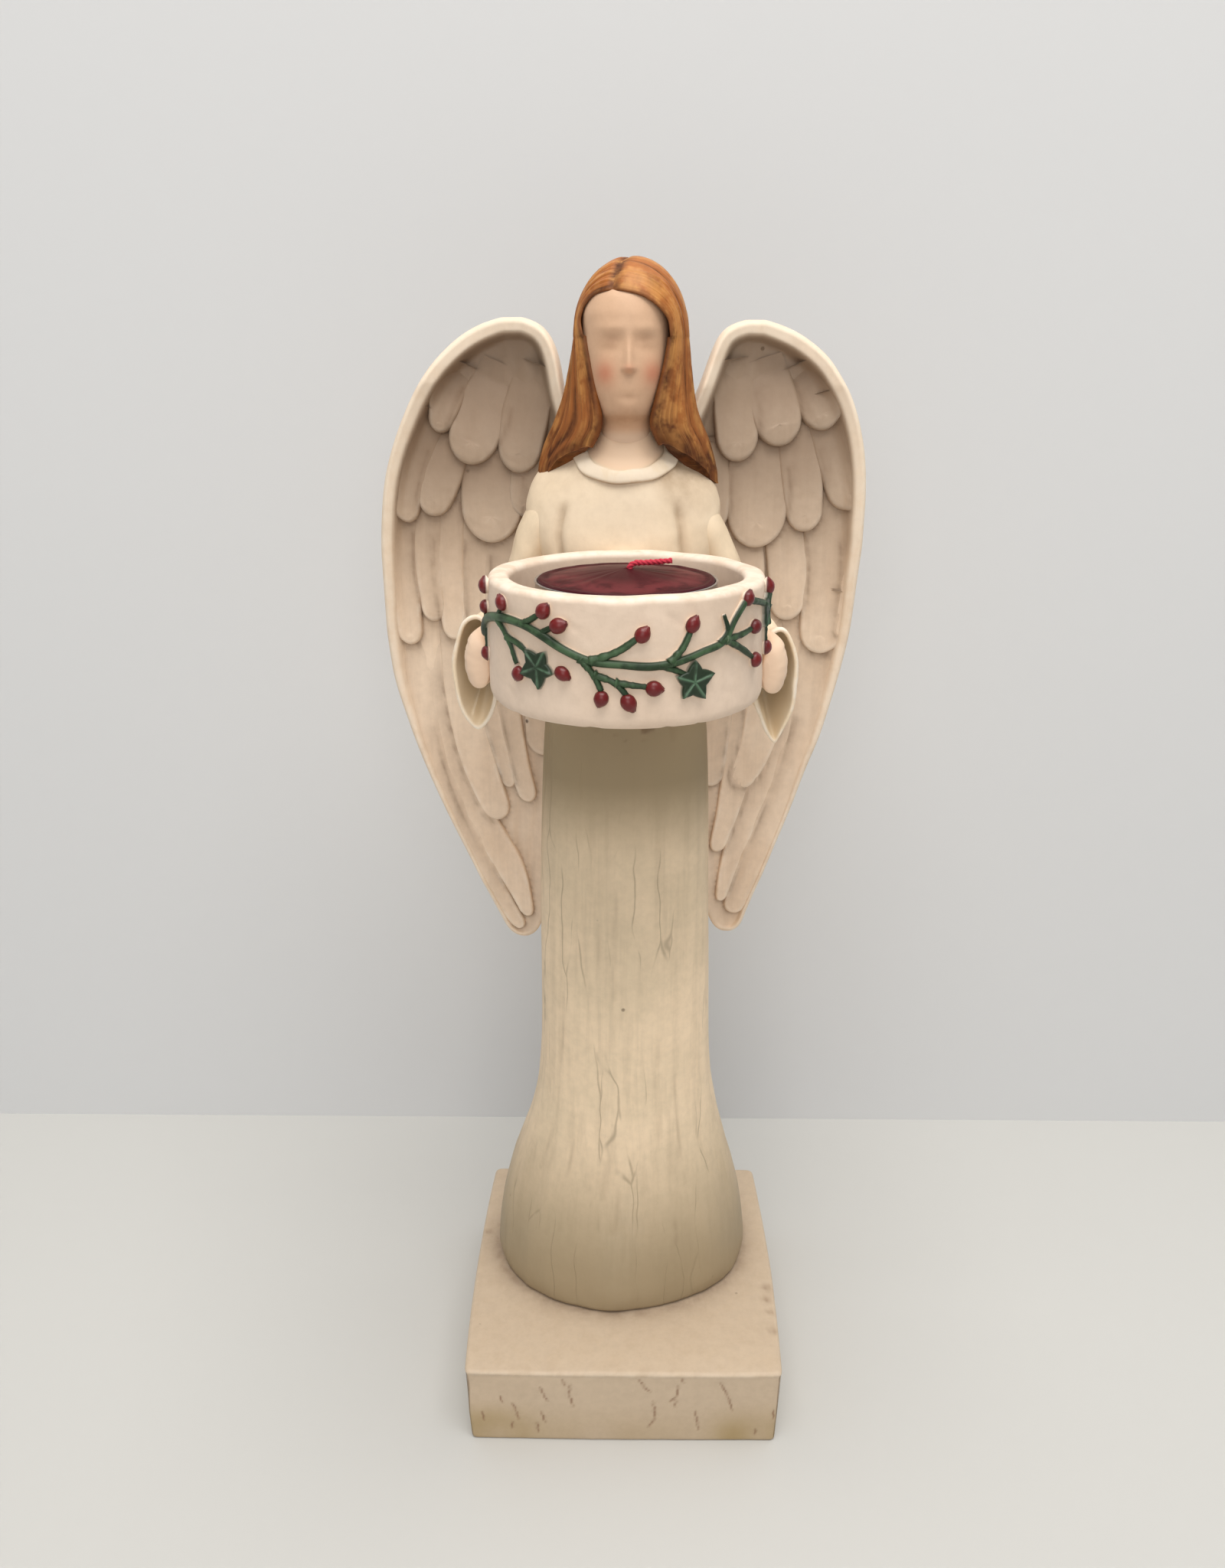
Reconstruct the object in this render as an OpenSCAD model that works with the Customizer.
// Standing angel with two feathered wings, holding a round cup for a tealight candle.
// Millimetres, Z up, the figure faces -Y. Origin: centre of the footprint on the floor.

/* [Plinth] */
// Width of the square plinth
plinth_width = 86; // [82:1:100]
// Depth of the square plinth
plinth_depth = 87; // [82:1:100]
// Height of the plinth
plinth_height = 25; // [20:1:32]
// Rounding of the top edges
plinth_round = 3; // [1:0.5:5]

/* [Skirt] */
// Half width of the hem
hem_half_width = 38.5; // [35:0.5:40]
// Half depth of the hem
hem_half_depth = 30; // [27:0.5:32]
// Height of the skirt above the plinth
skirt_height = 178; // [176:1:180]
// Radius of the spigot under the skirt
spigot_radius = 14; // [10:1:18]
// Length of the spigot under the skirt
spigot_length = 9; // [6:1:12]

/* [Cup] */
// Outer radius of the cup
cup_radius = 29.4; // [28.6:0.1:30]
// Height of the cup
cup_height = 27.5; // [26:0.5:30]
// Wall thickness of the cup
cup_wall = 4.8; // [3:0.1:6]
// Floor thickness of the cup
cup_floor = 7.5; // [5:0.5:10]
// Rounding of the rim
cup_rim_round = 1.8; // [0.8:0.2:2.2]

/* [Candle] */
// Radius of the candle shell
candle_radius = 19.4; // [17:0.1:20]
// Height of the candle shell
candle_height = 18; // [13:0.5:18]
// Wall thickness of the candle shell
shell_wall = 0.6; // [0.4:0.1:1]
// Length of the wick above the wax
wick_length = 9; // [5:0.5:12]

/* [Garland] */
// Radius of the vine stems
stem_radius = 0.75; // [0.6:0.05:1]
// Radius of a berry
berry_radius = 1.95; // [1.4:0.05:2.2]
// Reach of an ivy leaf
leaf_reach = 4.3; // [3:0.1:5]

/* [Wings] */
// Thickness of the wing shell
wing_thickness = 4; // [3:0.25:5]
// Depth of the hollow inside the rim
wing_hollow = 3; // [2:0.25:4]
// Thickness of a feather tier
feather_thickness = 1.6; // [1.2:0.1:2]

/* [Figure] */
// Thickness of the collar band
collar_thickness = 1.3; // [1:0.1:1.6]
// Opening of a cuff across
cuff_half_width = 4.4; // [4:0.1:5]
// Opening of a cuff up and down
cuff_half_height = 12.5; // [11:0.5:13]

/* [Hidden] */
cup_y = -41.6;
cup_base = plinth_height + 188;
candle_gap = 0.3;
fit_gap = 0.2;
tenon_radius = 7;
tenon_length = 8;
neck_radius = 5.6;
neck_socket = 12;
ring_sides = 36;
cream = "#e6d8c4";
wing_cream = "#e2d0be";
skin = "#dcb9a4";
stone = "#d8c5b2";

// Node to draw

// ---- shared shapes ----

// column k of a small table, read between its rows
function read(table, key, k) = lookup(key, [for (row = table) [row[0], row[k]]]);

// a level ellipse of points
function oval(cx, cy, z, rx, ry, n = ring_sides) =
    [for (i = [0:n - 1]) [cx + rx * cos(360 * i / n), cy + ry * sin(360 * i / n), z]];

function round_ring(z, r, n = ring_sides) = oval(0, 0, z, r, r, n);

// closed solid through a stack of rings that all have the same number of points
module loft(rings) {
    n = len(rings[0]);
    m = len(rings);
    walls = [for (k = [0:m - 2], i = [0:n - 1])
        let (a = k * n + i, b = k * n + (i + 1) % n)
        each [[a, a + n, b + n], [a, b + n, b]]];
    foot = [for (i = [0:n - 1]) i];
    crown = [for (i = [n - 1:-1:0]) (m - 1) * n + i];
    polyhedron(points = [for (r = rings) each r], faces = concat(walls, [foot], [crown]));
}

// closed slab between two grids of points, the first one facing -Y
module slab(front, back) {
    m = len(front);
    n = len(front[0]);
    o = m * n;
    skin = [for (r = [0:m - 2], c = [0:n - 2])
        let (a = r * n + c, b = a + 1, d = a + n, e = d + 1)
        each [[a, d, e], [a, e, b], [o + b, o + e, o + d], [o + b, o + d, o + a]]];
    low = [for (c = [0:n - 2]) each [[c, c + 1, o + c + 1], [c, o + c + 1, o + c]]];
    t = (m - 1) * n;
    high = [for (c = [0:n - 2])
        each [[t + c + 1, t + c, o + t + c], [t + c + 1, o + t + c, o + t + c + 1]]];
    inner = [for (r = [0:m - 2])
        let (a = r * n, d = a + n)
        each [[d, a, o + a], [d, o + a, o + d]]];
    outer = [for (r = [0:m - 2])
        let (a = r * n + n - 1, d = a + n)
        each [[a, d, o + d], [a, o + d, o + a]]];
    polyhedron(
        points = concat([for (row = front) each row], [for (row = back) each row]),
        faces = concat(skin, low, high, inner, outer));
}

// ---- plinth ----

// outline of the block, its sides bowed out a little
function plinth_outline(inset) =
    let (w = plinth_width / 2 - inset, d = plinth_depth / 2 - inset, n = 8)
    concat(
        [for (i = [0:n - 1]) let (t = 2 * i / n - 1) [w * t, -d - 0.4 * (1 - t * t)]],
        [for (i = [0:n - 1]) let (t = 2 * i / n - 1) [w + 1.2 * (1 - t * t), d * t]],
        [for (i = [0:n - 1]) let (t = 1 - 2 * i / n) [w * t, d + 0.4 * (1 - t * t)]],
        [for (i = [0:n - 1]) let (t = 1 - 2 * i / n) [-w - 1.2 * (1 - t * t), d * t]]);

function plinth_ring(inset, z) = [for (p = plinth_outline(inset)) [p[0], p[1], z]];

module plinth() {
    color(stone)
    difference() {
        loft([
            plinth_ring(1.2, 0),
            plinth_ring(0.6, plinth_height * 0.3),
            plinth_ring(0.2, plinth_height * 0.6),
            for (i = [0:4]) let (a = 90 * i / 4)
                plinth_ring(plinth_round * (1 - cos(a)),
                    plinth_height - plinth_round * (1 - sin(a)))]);
        translate([0, 0, plinth_height - spigot_length - fit_gap])
            cylinder(r = spigot_radius + fit_gap, h = spigot_length + 1);
    }
}

// ---- skirt ----

// height above the plinth, centre in depth, half width and half depth as shares of the hem
skirt_form = [
    [0, 8, 1, 1], [4, 8, 1.015, 1.01], [12, 7.8, 1, 0.985], [21, 7.4, 0.965, 0.94],
    [32, 6.6, 0.885, 0.86], [42, 5.8, 0.795, 0.78], [53, 4.8, 0.708, 0.7], [65, 4, 0.65, 0.64],
    [78, 3.4, 0.625, 0.6], [110, 2.8, 0.605, 0.56], [145, 2.4, 0.585, 0.52], [166, 2.2, 0.56, 0.5],
    [178, 2, 0.525, 0.475]];

function skirt_ring(z) = oval(0, read(skirt_form, z, 1), z,
    hem_half_width * read(skirt_form, z, 2), hem_half_depth * read(skirt_form, z, 3));

module skirt() {
    color(cream)
    translate([0, 0, plinth_height])
    loft([
        round_ring(-spigot_length, spigot_radius - 1),
        round_ring(-spigot_length + 1, spigot_radius),
        round_ring(0, spigot_radius),
        for (row = skirt_form) if (row[0] < skirt_height) skirt_ring(row[0]),
        skirt_ring(skirt_height),
        oval(0, 2, skirt_height, tenon_radius + fit_gap, tenon_radius + fit_gap),
        oval(0, 2, skirt_height - tenon_length - fit_gap,
            tenon_radius + fit_gap, tenon_radius + fit_gap)]);
}

// ---- bodice, collar, head, hair ----

// height above the plinth, centre in depth, half width, half depth
bodice_form = [
    [0, 2, 18.5, 13.4], [12, 1.8, 16.8, 13.6], [24, 1.6, 17.2, 14.2], [36, 1.4, 18.6, 14.4],
    [44, 1.2, 19.6, 13.8], [50, 1.2, 19.6, 12.4], [54, 1, 17.8, 10.8], [57, 1, 14.4, 9.4],
    [59.5, 0.8, 10.4, 8.2], [60.5, 0.8, 8.2, 7.2]];

function bodice_ring(h) = oval(0, read(bodice_form, h, 1), skirt_height + h,
    read(bodice_form, h, 2), read(bodice_form, h, 3));

module bodice() {
    color(cream)
    translate([0, 0, plinth_height])
    loft([
        oval(0, 2, skirt_height - tenon_length, tenon_radius, tenon_radius),
        oval(0, 2, skirt_height, tenon_radius, tenon_radius),
        for (row = bodice_form) bodice_ring(row[0]),
        oval(0, 0.5, skirt_height + 60.5, neck_radius + fit_gap, neck_radius + fit_gap),
        oval(0, 0.5, skirt_height + 60.5 - neck_socket,
            neck_radius + fit_gap, neck_radius + fit_gap)]);
}

module collar() {
    color(cream)
    translate([-0.4, -0.6, plinth_height + skirt_height + 56.3])
    rotate([19, 0, 0])
    rotate_extrude($fn = 48)
    translate([9.4, 0])
    polygon([for (i = [0:11])
        let (a = 30 * i) [collar_thickness * cos(a), 1.5 * collar_thickness * sin(a)]]);
}

// height above the plinth, centre across, centre in depth, half width, half depth
head_form = [
    [227, 0, 0.5, 5.6, 5.6], [236, -0.2, 0.2, 5.5, 5.6], [241, -0.1, -0.8, 5.5, 5.8],
    [244.5, 0.1, -2, 5.9, 7.6], [247, 0.2, -2.6, 6.6, 9.2], [251, 0.3, -2.4, 7.9, 10.4],
    [256, 0.4, -1.8, 9, 11.2], [261, 0.5, -1.2, 9.6, 11.5], [266, 0.5, -0.8, 9.8, 11.4],
    [270, 0.5, -0.4, 9.2, 10.6], [273, 0.5, 0, 7.8, 8.8], [275, 0.5, 0, 5.6, 6.4],
    [276, 0.5, 0, 3.2, 3.6]];

// a ridge on the front of the head for the nose
function nose(z, a) =
    1.5 * exp(-pow((z - 255.5) / 3.4, 2)) * exp(-pow((a - 270) / 11, 2));

function head_ring(row) = [for (i = [0:ring_sides - 1])
    let (a = 360 * i / ring_sides)
    [row[1] + row[3] * cos(a),
        row[2] + (row[4] + nose(row[0], a)) * sin(a),
        row[0]]];

module head() {
    color(skin)
    translate([0, 0, plinth_height])
    loft([
        for (row = head_form) head_ring(row)]);
}

// height above the plinth, centre in depth, half width, half depth, half angle of the face opening, thickness
hair_form = [
    [228.5, 3.5, 20.6, 11.2, 84, 3.4], [233, 3.4, 19.6, 12, 72, 5], [238, 3.2, 18, 12.6, 58, 5.6],
    [243, 2.8, 16.5, 13, 41, 5.6], [249, 2.2, 14.9, 13.4, 52, 4.9], [256, 1.4, 13.8, 13.6, 58, 3.9],
    [262, 0.8, 12.9, 13.6, 59, 3.1], [266, 0.4, 12.3, 13.4, 51, 2.8], [269.5, 0.2, 11.6, 12.8, 34, 2.8],
    [272.5, 0, 10.4, 11.6, 13, 3.2], [275, 0, 9, 10, 3, 3.6], [277.3, 0, 6.6, 7.4, 2, 3.6],
    [278.8, 0, 4, 4.4, 2, 2.6], [279.4, 0, 2.4, 2.6, 2, 1.6]];

// a level ring open at the front, outer arc first and inner arc back
function hair_ring(row, n = 21) =
    let (g = row[4], w = 360 - 2 * g)
    concat(
        [for (i = [0:n]) let (a = -90 + g + w * i / n)
            [0.8 + row[2] * cos(a), row[1] + row[3] * sin(a), row[0]]],
        [for (i = [n:-1:0]) let (a = -90 + g + w * i / n)
            [0.8 + (row[2] - row[5]) * cos(a), row[1] + (row[3] - row[5]) * sin(a), row[0]]]);

module hair() {
    color("#b0692c")
    translate([0, 0, plinth_height])
    loft([
        for (row = hair_form) hair_ring(row)]);
}

// ---- sleeves and hands ----

// point on a tilted ring: the tilt turns the ring from level to upright and facing forward
function tilted(c, tilt, rx, rh, a) = [
    c[0] + rx * cos(a),
    c[1] - rh * sin(a) * cos(tilt),
    c[2] + rh * sin(a) * sin(tilt)];

function tilted_ring(row, n = 24) =
    [for (i = [0:n - 1]) tilted([row[0], row[1], row[2]], row[3], row[4], row[5], -360 * i / n)];

// across, depth, height over the cup underside, tilt, half width, half height
function sleeve_form(drop) = [
    [-13, 1.2, 37.5, 0, 4.5, 7], [-17.4, 1.2, 36, 0, 6, 7.8], [-20.6, 1.4, 31, 0, 6, 8],
    [-23.4, 1.8, 24, 0, 5.4, 7.8], [-25.8, 2.6, 16, 10, 5.3, 8], [-28.4, 2.2, 8.6, 38, 5.4, 9],
    [-30.6, -4, 5.4 - drop * 0.3, 68, 5.6, 10], [-32.4, -13, 5 - drop * 0.6, 86, 5.7, 11],
    [-33.4, -22, 5.6 - drop, 90, 5.4, 12], [-33.9, -31, 6 - drop, 90, cuff_half_width + 1.2, cuff_half_height + 1.2],
    [-33.9, -32, 6 - drop, 90, cuff_half_width + 0.6, cuff_half_height + 0.6],
    [-33.9, -31.4, 6 - drop, 90, cuff_half_width, cuff_half_height],
    [-33.6, -24, 6 - drop, 90, cuff_half_width - 0.4, cuff_half_height - 2],
    [-33.2, -20, 6 - drop, 90, cuff_half_width - 1.4, cuff_half_height - 5]];

module sleeve(drop) {
    translate([0, 0, cup_base])
    loft([
        for (row = sleeve_form(drop)) tilted_ring(row)]);
}

module left_sleeve() {
    color(cream)
    sleeve(0);
}

module right_sleeve() {
    color(cream)
    mirror([1, 0, 0])
    sleeve(3);
}

// angle round the cup from its front, height over the underside, half thickness, half height
hand_form = [
    [128, 6.5, 2.2, 4.2], [121, 6.8, 2.6, 5], [113, 7.2, 3, 5.9], [105, 7.4, 3.2, 6.4],
    [97, 7.4, 3.2, 6.3], [91, 7.2, 2.8, 5.6], [88, 7, 2, 4.2], [86.8, 7, 0.9, 2.2]];

function hand_ring(row, n = 20) =
    let (r = cup_radius + row[2] - 0.25, u = [-sin(row[0]), -cos(row[0]), 0])
    [for (i = [0:n - 1])
        let (a = 360 * i / n, q = r + row[2] * cos(a))
        [q * u[0], cup_y + q * u[1], row[1] + row[3] * sin(a)]];

module hand() {
    translate([0, 0, cup_base])
    loft([
        for (row = hand_form) hand_ring(row)]);
}

module left_hand() {
    color(skin)
    hand();
}

module right_hand() {
    color(skin)
    translate([0, 0, -1])
    mirror([1, 0, 0])
    hand();
}

// ---- wings ----

// height above the plinth, inner edge, outer edge
left_edge = [
    [99, 27.5, 30.5], [100.5, 25.6, 33], [105, 23.6, 35.2], [115, 20.5, 39.4], [124, 17.6, 43.2],
    [135, 15, 48], [145, 13, 52], [155, 11.6, 55.6], [165, 10.2, 58.6], [180, 9, 62],
    [195, 8.4, 62.9], [210, 8, 62.8], [220, 8.4, 62], [228, 9.4, 60.8], [236, 11.2, 58.4],
    [244, 13.4, 55], [250, 15, 51.8], [255, 16.4, 48.4], [259, 18, 44.4], [262.2, 19.8, 40],
    [264.7, 22.4, 34.8], [266, 26, 30]];

right_edge = [
    [101, 27, 31.4], [103, 25.4, 33.2], [107.6, 23.4, 34.6], [118, 20.4, 38], [129, 17.4, 41.8],
    [140, 14.6, 45.6], [152, 12.2, 49.3], [161, 11, 52.4], [170, 10, 54.6], [180, 9.2, 56.8],
    [191, 8.6, 58.6], [203, 8.2, 59.4], [216, 8, 60.2], [226, 9, 60], [234, 10.8, 59.2],
    [241, 13.2, 57.6], [248, 16.4, 55.1], [253, 18.6, 52.2], [257, 20.2, 49.2], [260, 21.6, 45.6],
    [262.8, 23.2, 40.9], [264.4, 26, 36.5], [265.4, 29.6, 33]];

function top_of(edge) = edge[len(edge) - 1][0];

function wing_x(edge, z, u) = let (a = read(edge, z, 1), b = read(edge, z, 2)) a + u * (b - a);

// share of the rim at this place: 1 on the outer and upper edge, 0 in the hollow
function rim_share(edge, z, u) = min(1,
    exp(-pow((1 - u) * (read(edge, z, 2) - read(edge, z, 1)) / 3.2, 4))
    + exp(-pow((top_of(edge) - z) / 5.5, 4)));

// depth of the front face of the shell; the root runs forward into the back of the dress
function wing_y(edge, z, u) =
    17 + wing_hollow * (1 - pow(2 * u - 1, 2)) - 5.8 * pow(1 - u, 3) - 1.2 * u
    - (3 + 2 * min(1, max(0, (z - 200) / 50))) * rim_share(edge, z, u) * (1 - pow(1 - u, 3));

// depth of the smooth back face
function wing_back(z, u) = 13.6 + wing_thickness + 3.6 * pow(sin(min(1, u * 1.15) * 90), 1.2)
    - 1.6 * pow(u, 3);

wing_cols = [0, 0.12, 0.28, 0.44, 0.6, 0.74, 0.84, 0.9, 0.94, 0.97, 1];

module wing(edge) {
    front = [for (row = edge)
        [for (u = wing_cols) [wing_x(edge, row[0], u), wing_y(edge, row[0], u), row[0]]]];
    back = [for (row = edge)
        [for (u = wing_cols) [wing_x(edge, row[0], u), wing_back(row[0], u), row[0]]]];
    translate([0, 0, plinth_height])
    slab(front, back);
}

module left_wing() {
    color(wing_cream)
    mirror([1, 0, 0])
    wing(left_edge);
}

module right_wing() {
    color(wing_cream)
    wing(right_edge);
}

// a fan of round-tipped feathers lying on the shell
// top and tip: heights above the plinth at the inner and outer ends; lift: height over the shell
module tier(edge, count, top, tip, span, round_up, lift) {
    sides = 6;
    rows = 5;
    function share(j) = j / (count * sides);
    function phase(j) = (j % sides) / sides;
    function arch(j) = sqrt(max(0, 1 - pow(2 * phase(j) - 1, 2)));
    function u_at(j) = span[0] + (span[1] - span[0]) * share(j);
    function tip_at(j) = tip[0] + (tip[1] - tip[0]) * share(j) + tip[2] * pow(2 * share(j) - 1, 2)
        + round_up * (1 - arch(j));
    function top_at(j) = top[0] + (top[1] - top[0]) * share(j);
    function z_at(j, v) = tip_at(j) + (top_at(j) - tip_at(j)) * v;
    grid = [for (k = [0:rows - 1])
        [for (j = [0:count * sides])
            let (v = pow(k / (rows - 1), 1.6), z = z_at(j, v), u = u_at(j))
            [wing_x(edge, z, u), wing_y(edge, z, u), z,
                lift * (1 - 0.8 * v) + feather_thickness * (0.45 + 0.55 * arch(j))]]];
    translate([0, 0, plinth_height])
    slab(
        [for (row = grid) [for (p = row) [p[0], p[1] - p[3], p[2]]]],
        [for (row = grid) [for (p = row) [p[0], p[1] + 0.25, p[2]]]]);
}

module primaries(edge) {
    tier(edge, 4, [186, 196], [146, 108, -6], [0.2, 0.9], 7, 0.2);
}

module secondaries(edge) {
    tier(edge, 4, [216, 224], [184, 186, -6], [0.16, 0.9], 6, 0.9);
}

module coverts(edge) {
    union() {
        tier(edge, 4, [240, 240], [216, 222, -3], [0.16, 0.9], 6, 1.7);
        tier(edge, 3, [256, 256], [232, 240, -2], [0.18, 0.86], 6, 3);
    }
}

module left_primaries() {
    color(wing_cream)
    mirror([1, 0, 0])
    primaries(left_edge);
}

module right_primaries() {
    color(wing_cream)
    primaries(right_edge);
}

module left_secondaries() {
    color(wing_cream)
    mirror([1, 0, 0])
    secondaries(left_edge);
}

module right_secondaries() {
    color(wing_cream)
    secondaries(right_edge);
}

module left_coverts() {
    color(wing_cream)
    mirror([1, 0, 0])
    coverts(left_edge);
}

module right_coverts() {
    color(wing_cream)
    coverts(right_edge);
}

// ---- cup and garland ----

module cup() {
    r = cup_rim_round;
    inner = cup_radius - cup_wall;
    color("#ead9cb")
    translate([0, cup_y, cup_base])
    rotate_extrude($fn = 96)
    polygon([
        [0, 0], [cup_radius - 1.4, 0], [cup_radius - 0.4, 0.5], [cup_radius, 1.6],
        for (i = [0:6]) let (a = 15 * i)
            [cup_radius - r + r * cos(a), cup_height - r + r * sin(a)],
        for (i = [0:6]) let (a = 90 + 15 * i)
            [inner + r + r * cos(a), cup_height - r + r * sin(a)],
        [inner, cup_floor + 1.5], [inner - 0.45, cup_floor + 0.45],
        [inner - 1.5, cup_floor], [0, cup_floor]]);
}

// a place on the cup wall: degrees from the front, height over the underside, distance off the wall
function on_cup(a, h, off = 0) = [
    (cup_radius + off) * sin(a), cup_y - (cup_radius + off) * cos(a), cup_base + h];

// smooth curve through control points
function spline(p, i, t) =
    let (a = p[max(i - 1, 0)], b = p[i], c = p[i + 1], d = p[min(i + 2, len(p) - 1)])
    0.5 * (2 * b + t * (c - a) + t * t * (2 * a - 5 * b + 4 * c - d)
        + t * t * t * (3 * b - a - 3 * c + d));

function smooth(p, steps) = concat(
    [for (i = [0:len(p) - 2], k = [0:steps - 1]) spline(p, i, k / steps)],
    [p[len(p) - 1]]);

function unit(v) = v / norm(v);

// round stem laid along the wall through [degrees, height] points
module stem(points, r, steps = 3) {
    path = smooth(points, steps);
    centre = [for (p = path) on_cup(p[0], p[1], r * 0.35)];
    last = len(path) - 1;
    loft([
        for (i = [0:last])
            let (along = unit(centre[min(i + 1, last)] - centre[max(i - 1, 0)]),
                out = [sin(path[i][0]), -cos(path[i][0]), 0],
                side = cross(out, along),
                q = r * (i == 0 || i == last ? 0.55 : 1))
            [for (k = [0:6]) let (a = -360 * k / 7) centre[i] + q * (cos(a) * out + sin(a) * side)]]);
}

module vine() {
    s = stem_radius;
    color("#2f5a40")
    union() {
        stem([[-78, 18], [-62, 20.6], [-43.7, 20.8], [-32.8, 19.2], [-23.7, 17], [-13.3, 15.2], [-1.7, 14.7],
            [10.4, 14.3], [19.7, 14.9], [29.7, 16.3], [40.8, 18], [46, 21.6], [53, 25]], s * 1.25);
        stem([[-60, 20.4], [-52, 17], [-47, 12.5]], s);
        stem([[-53, 17.4], [-44.5, 16.4], [-38.5, 14.4]], s);
        stem([[-43.7, 20.8], [-39, 22], [-34.5, 23.4]], s);
        stem([[-13.3, 15.2], [-2, 17.6], [4, 19.8]], s);
        stem([[16.6, 14.8], [21.6, 17.6], [24.6, 20.6]], s);
        stem([[-17.2, 15.6], [-12, 12.4], [-9.2, 9.4]], s);
        stem([[-12, 12.6], [-4, 11], [0.4, 8.6]], s);
        stem([[-4, 11.2], [3, 10.6], [8.8, 10.2]], s);
        stem([[41, 18], [50, 18.2], [59, 18.8]], s);
        stem([[41, 18], [50, 15.6], [60, 12.6]], s);
        stem([[53, 25], [66, 23.4], [80, 21.4]], s);
    }
}

berry_places = [
    [-81, 25.2], [-80, 20.9], [-56.2, 24], [-32.5, 24.1], [-26.1, 21.6], [6, 20.5], [25.4, 21.9],
    [54, 25.4], [60.7, 18.9], [62, 11.9], [80, 25.4], [-46, 10.6], [-24.5, 12.3],
    [-9.2, 7.9], [1, 7.2], [10.5, 9.9], [80.5, 12.4], [-80.5, 11]];

module berries() {
    color("#8c1f22")
    union() {
        for (p = berry_places)
            translate(on_cup(p[0], p[1], berry_radius * 0.45))
                sphere(r = berry_radius);
    }
}

leaf_places = [[-35.6, 12.8, 200], [26.3, 10.6, 10], [78, 20.6, 150]];

module ivy_leaf() {
    linear_extrude(height = 1.5)
    polygon([for (i = [0:29])
        let (a = 12 * i, lobe = pow(abs(cos(2.5 * a)), 1.4))
        [leaf_reach * (0.46 + 0.54 * lobe) * cos(a), leaf_reach * (0.46 + 0.54 * lobe) * sin(a)]]);
}

module ivy_leaves() {
    color("#27523a")
    union() {
        for (p = leaf_places)
            translate(on_cup(p[0], p[1], -0.4))
                rotate([90, 0, p[0]])
                    rotate([0, 0, p[2]])
                        ivy_leaf();
    }
}

// ---- candle ----

candle_base = cup_base + cup_floor + candle_gap;

module candle_shell() {
    color("#c9c4bf")
    translate([0, cup_y, candle_base])
    rotate_extrude($fn = 96)
    polygon([
        [0, 0], [candle_radius - 1.2, 0], [candle_radius - 0.4, 0.4], [candle_radius, 1.2],
        [candle_radius, candle_height], [candle_radius - shell_wall, candle_height],
        [candle_radius - shell_wall, 1.4], [candle_radius - 1.4, shell_wall], [0, shell_wall]]);
}

module candle_wax() {
    w = candle_radius - shell_wall;
    color("#5a1120")
    translate([0, cup_y, candle_base])
    rotate_extrude($fn = 96)
    polygon([
        [0, shell_wall + 0.7], [7, shell_wall + 0.7], [7, shell_wall], [w - 0.8, shell_wall],
        [w, 1.6], [w, candle_height + 0.2], [w - 0.5, candle_height + 0.6],
        [w - 1.4, candle_height + 0.3], [w * 0.6, candle_height + 0.9],
        [w * 0.25, candle_height + 1.9], [1.2, candle_height + 2.6], [0, candle_height + 2.7]]);
}

module wick_tab() {
    color("#b7b7b2")
    translate([0, cup_y, candle_base + shell_wall])
    cylinder(r = 6.8, h = 0.6);
}

module wick() {
    bend = candle_base + candle_height + 3.2;
    path = smooth([
        [0, 0, candle_base + candle_height - 3], [0, 0, bend - 1], [0.8, 0, bend],
        [wick_length * 0.5, -0.2, bend + 0.9], [wick_length, -0.6, bend + 1.6]], 4);
    last = len(path) - 1;
    color("#b5273a")
    translate([0.6, cup_y, 0])
    loft([
        for (i = [0:last])
            let (along = unit(path[min(i + 1, last)] - path[max(i - 1, 0)]),
                across = [0, 1, 0],
                side = cross(across, along))
            [for (k = [0:9])
                let (a = -36 * k)
                path[i] + 0.55 * (cos(a) * across + sin(a) * side)]]);
}

// ---- nodes ----

plinth();
skirt();
bodice();
collar();
left_sleeve();
right_sleeve();
left_hand();
right_hand();
head();
hair();
left_wing();
right_wing();
left_primaries();
right_primaries();
left_secondaries();
right_secondaries();
left_coverts();
right_coverts();
cup();
vine();
berries();
ivy_leaves();
candle_shell();
candle_wax();
wick_tab();
wick();
